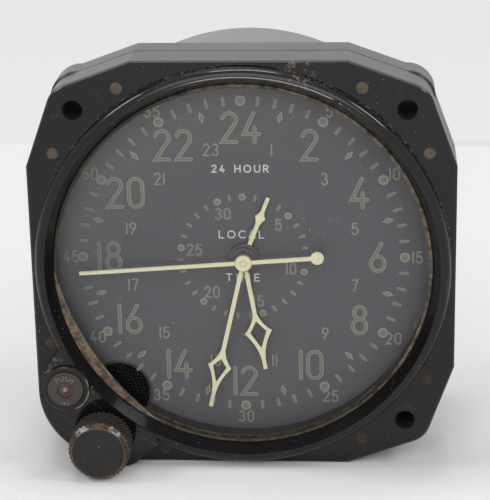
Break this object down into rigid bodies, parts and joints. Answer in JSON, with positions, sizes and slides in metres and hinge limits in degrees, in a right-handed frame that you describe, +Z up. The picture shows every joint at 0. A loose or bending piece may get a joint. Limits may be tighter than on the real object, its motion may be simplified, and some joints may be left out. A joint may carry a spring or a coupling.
{
  "type": "aircraft cockpit clock",
  "caption": "Square-flanged aircraft panel clock: black 24-hour dial, ivory hands under flat glass in a raised ring, winding knob and date button at one corner, round case behind.",
  "frame": {"origin": "on the dial axis at the rear face of the flange, where the clock seats on its panel", "axes": "+X right and +Z up as the dial is read, +Y from the dial into the panel"},
  "size_m": [0.0826, 0.0493, 0.0826],
  "materials": {
    "black_enamel": "semi-gloss black enamel, worn",
    "clear_glass": "flat clear glass",
    "brown_seal": "aged brown sealing compound",
    "black_rubber": "matt",
    "aged_brass_ring": "dull, aged",
    "dial_black": "satin black with aged lume marks",
    "cover_black": "matt black",
    "dark_screw_steel": "darkened, filled with grime",
    "knob_black": "knurled, black paint worn at the edge",
    "collar_black": "black, worn at the rim",
    "button_brown": "worn brown",
    "ivory_hands": "matt ivory lume paint",
    "wheel_brass": "satin",
    "plate_brass": "brushed",
    "polished_steel": "polished",
    "spring_steel": "blued"
  },
  "bodies": {
    "case_body": {"bezel": "black_enamel", "case": "black_enamel", "rear_cover": "black_enamel", "rear_cover_screws": "dark_screw_steel", "bezel_screws": "dark_screw_steel", "crystal": "clear_glass", "crystal_seal": "brown_seal", "crystal_gasket": "black_rubber", "dial_spacer": "aged_brass_ring", "dial": "dial_black", "gear_cover": "cover_black", "button_collar": "collar_black", "button_spring": "spring_steel", "date_jumper": "polished_steel", "main_plate": "plate_brass", "back_plate": "plate_brass", "plate_pillars": "plate_brass", "plate_screws": "polished_steel", "movement_screws": "polished_steel", "balance_cock": "plate_brass", "hairspring": "spring_steel"},
    "stem_clip": {"stem_clip": "polished_steel"},
    "knob": {"knob": "knob_black", "winding_stem": "polished_steel", "winding_pinion": "polished_steel"},
    "idler": {"winding_idler": "polished_steel"},
    "barrel_arbor": {"barrel_arbor": "polished_steel", "ratchet_wheel": "polished_steel"},
    "click": {"ratchet_click": "polished_steel"},
    "date_button": {"date_button": "button_brown", "button_rod": "polished_steel"},
    "date_slide": {"date_slide": "polished_steel"},
    "date_work": {"date_hand": "ivory_hands", "date_wheel": "polished_steel"},
    "hour_work": {"hour_hand": "ivory_hands", "hour_wheel": "wheel_brass"},
    "minute_work": {"minute_hand": "ivory_hands", "centre_arbor": "polished_steel", "centre_wheel": "wheel_brass", "cannon_pinion": "polished_steel"},
    "second_work": {"second_hand": "ivory_hands", "seconds_arbor": "polished_steel", "fourth_wheel": "wheel_brass"},
    "minute_wheel": {"minute_wheel": "wheel_brass"},
    "third_wheel": {"third_wheel": "wheel_brass"},
    "intermediate_wheel": {"intermediate_wheel": "wheel_brass"},
    "spring_barrel": {"spring_barrel": "wheel_brass", "mainspring": "spring_steel"},
    "escape_wheel": {"escape_wheel": "polished_steel"},
    "pallet_fork": {"pallet_fork": "polished_steel"},
    "balance": {"balance_wheel": "wheel_brass"}
  },
  "joints": [
    {"name": "second_turn", "type": "hinge", "parent": "case_body", "child": "second_work", "pos_m": [0, 0, 0], "axis": [0, 1, 0], "continuous": true},
    {"name": "minute_turn", "type": "hinge", "parent": "case_body", "child": "minute_work", "pos_m": [0, 0, 0], "axis": [0, 1, 0], "continuous": true},
    {"name": "hour_turn", "type": "hinge", "parent": "case_body", "child": "hour_work", "pos_m": [0, 0, 0], "axis": [0, 1, 0], "continuous": true},
    {"name": "date_turn", "type": "hinge", "parent": "case_body", "child": "date_work", "pos_m": [0, 0, 0], "axis": [0, 1, 0], "continuous": true},
    {"name": "minute_wheel_turn", "type": "hinge", "parent": "case_body", "child": "minute_wheel", "pos_m": [0.0045, 0, 0.00779], "axis": [0, 1, 0], "continuous": true},
    {"name": "third_turn", "type": "hinge", "parent": "case_body", "child": "third_wheel", "pos_m": [-0.00176, 0, 0.00997], "axis": [0, 1, 0], "continuous": true},
    {"name": "intermediate_turn", "type": "hinge", "parent": "case_body", "child": "intermediate_wheel", "pos_m": [-0.00651, 0, -0.00759], "axis": [0, 1, 0], "continuous": true},
    {"name": "barrel_turn", "type": "hinge", "parent": "case_body", "child": "spring_barrel", "pos_m": [-0.01448, 0, -0.01689], "axis": [0, 1, 0], "continuous": true},
    {"name": "escape_turn", "type": "hinge", "parent": "case_body", "child": "escape_wheel", "pos_m": [0.01009, 0, -0.00088], "axis": [0, 1, 0], "continuous": true},
    {"name": "pallet_swing", "type": "hinge", "parent": "case_body", "child": "pallet_fork", "pos_m": [0.01552, 0, -0.00342], "axis": [0, 1, 0], "range_deg": [-5, 5]},
    {"name": "balance_swing", "type": "hinge", "parent": "case_body", "child": "balance", "pos_m": [0.02224, 0, -0.01014], "axis": [0, 1, 0], "range_deg": [-150, 150], "deforming": ["hairspring"]},
    {"name": "knob_pull", "type": "slide", "parent": "case_body", "child": "stem_clip", "axis": [0, -1, 0], "range_m": [0, 0.0018]},
    {"name": "knob_turn", "type": "hinge", "parent": "stem_clip", "child": "knob", "pos_m": [-0.0283, 0, -0.035], "axis": [0, 1, 0], "continuous": true},
    {"name": "idler_turn", "type": "hinge", "parent": "case_body", "child": "idler", "pos_m": [-0.02414, 0, -0.02817], "axis": [0, 1, 0], "continuous": true},
    {"name": "ratchet_turn", "type": "hinge", "parent": "case_body", "child": "barrel_arbor", "pos_m": [-0.01448, 0, -0.01689], "axis": [0, 1, 0], "continuous": true},
    {"name": "click_lift", "type": "hinge", "parent": "case_body", "child": "click", "pos_m": [-0.02999, 0, -0.01444], "axis": [0, -1, 0], "range_deg": [0, 8]},
    {"name": "date_press", "type": "slide", "parent": "case_body", "child": "date_button", "axis": [0, 1, 0], "range_m": [0, 0.0015], "stiffness_N_per_m": 150, "deforming": ["button_spring"]},
    {"name": "date_slide_move", "type": "slide", "parent": "case_body", "child": "date_slide", "axis": [0.8248, 0, 0.5655], "range_m": [0, 0.0009]}
  ],
  "couplings": [
    {"joint": "third_turn", "follows": "second_turn", "ratio": -0.13333},
    {"joint": "minute_turn", "follows": "second_turn", "ratio": 0.016667},
    {"joint": "minute_wheel_turn", "follows": "second_turn", "ratio": -0.0041667},
    {"joint": "hour_turn", "follows": "second_turn", "ratio": 0.00069444},
    {"joint": "intermediate_turn", "follows": "second_turn", "ratio": -0.0041667},
    {"joint": "barrel_turn", "follows": "second_turn", "ratio": 0.00069444},
    {"joint": "escape_turn", "follows": "second_turn", "ratio": -8},
    {"joint": "idler_turn", "follows": "knob_turn", "ratio": -1},
    {"joint": "ratchet_turn", "follows": "knob_turn", "ratio": 0.36842},
    {"joint": "date_slide_move", "follows": "date_press", "ratio": 0.6}
  ]
}
